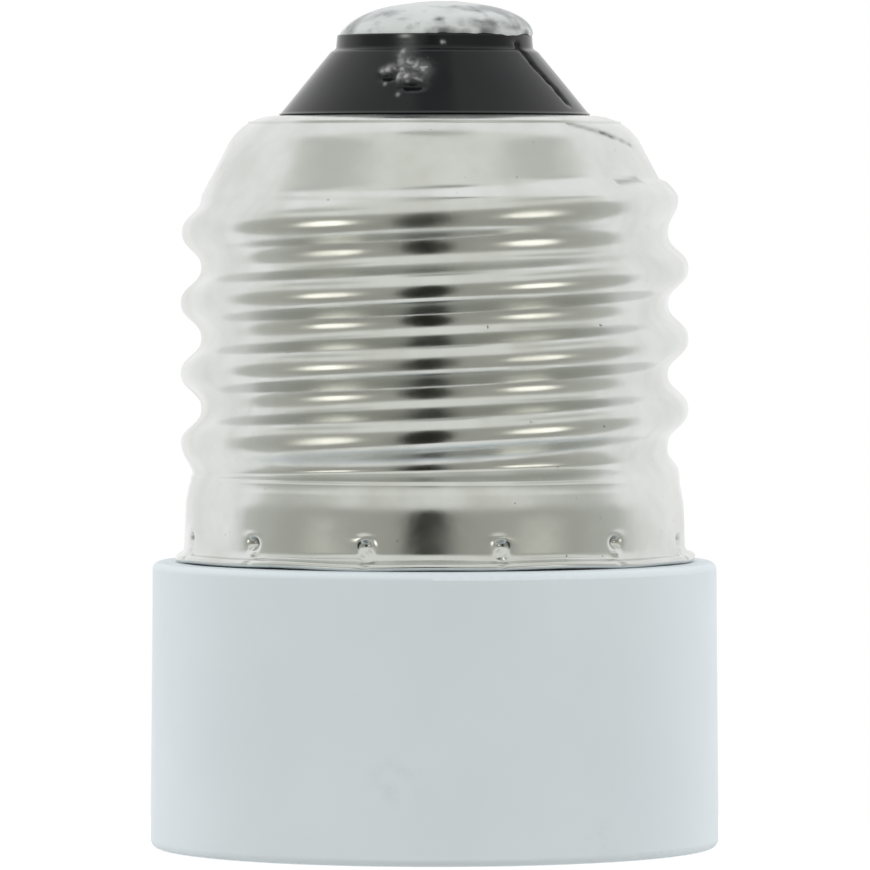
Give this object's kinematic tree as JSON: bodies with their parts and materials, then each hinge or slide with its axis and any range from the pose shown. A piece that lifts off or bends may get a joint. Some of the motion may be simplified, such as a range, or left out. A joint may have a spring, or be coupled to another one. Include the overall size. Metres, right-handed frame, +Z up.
{
  "type": "lamp socket adapter",
  "caption": "Lamp socket adapter: a nickel screw cap with a black insulator and a soldered tip contact, on a white collar whose open mouth holds a lamp with a smaller screw base.",
  "frame": {"origin": "centre of the collar's mouth plane, which the adapter stands on", "axes": "+Z up the axis towards the screw cap's tip contact, +X through a crest of the screw thread"},
  "size_m": [0.0294, 0.0294, 0.0436],
  "materials": {
    "white_moulding": "satin",
    "nickel_plate": "bright nickel plate, slightly dulled",
    "black_glass": "glossy opaque black",
    "brass_sheet": "plain",
    "solder": "frosty and mottled",
    "inner_shell": "nickel plated",
    "spring_brass": "plain",
    "copper": "bright copper",
    "brown_sleeve": "plain",
    "blue_sleeve": "plain"
  },
  "bodies": {
    "adapter": {"collar": "white_moulding", "screw_shell": "nickel_plate", "insulator": "black_glass", "contact_plate": "brass_sheet", "solder_contact": "solder", "lamp_shell": "inner_shell", "live_core": "copper", "live_sleeve": "brown_sleeve", "shell_core": "copper", "shell_sleeve": "blue_sleeve", "shell_joint": "solder"},
    "leaf": {"contact_leaf": "spring_brass", "live_joint": "solder"}
  },
  "joints": [
    {"name": "leaf_flex", "type": "hinge", "parent": "adapter", "child": "leaf", "pos_m": [0, -0.0035, 0.02172], "axis": [1, 0, 0], "range_deg": [0, 18], "stiffness_Nm_per_rad": 0.1, "deforming": ["live_core", "live_sleeve"]}
  ]
}
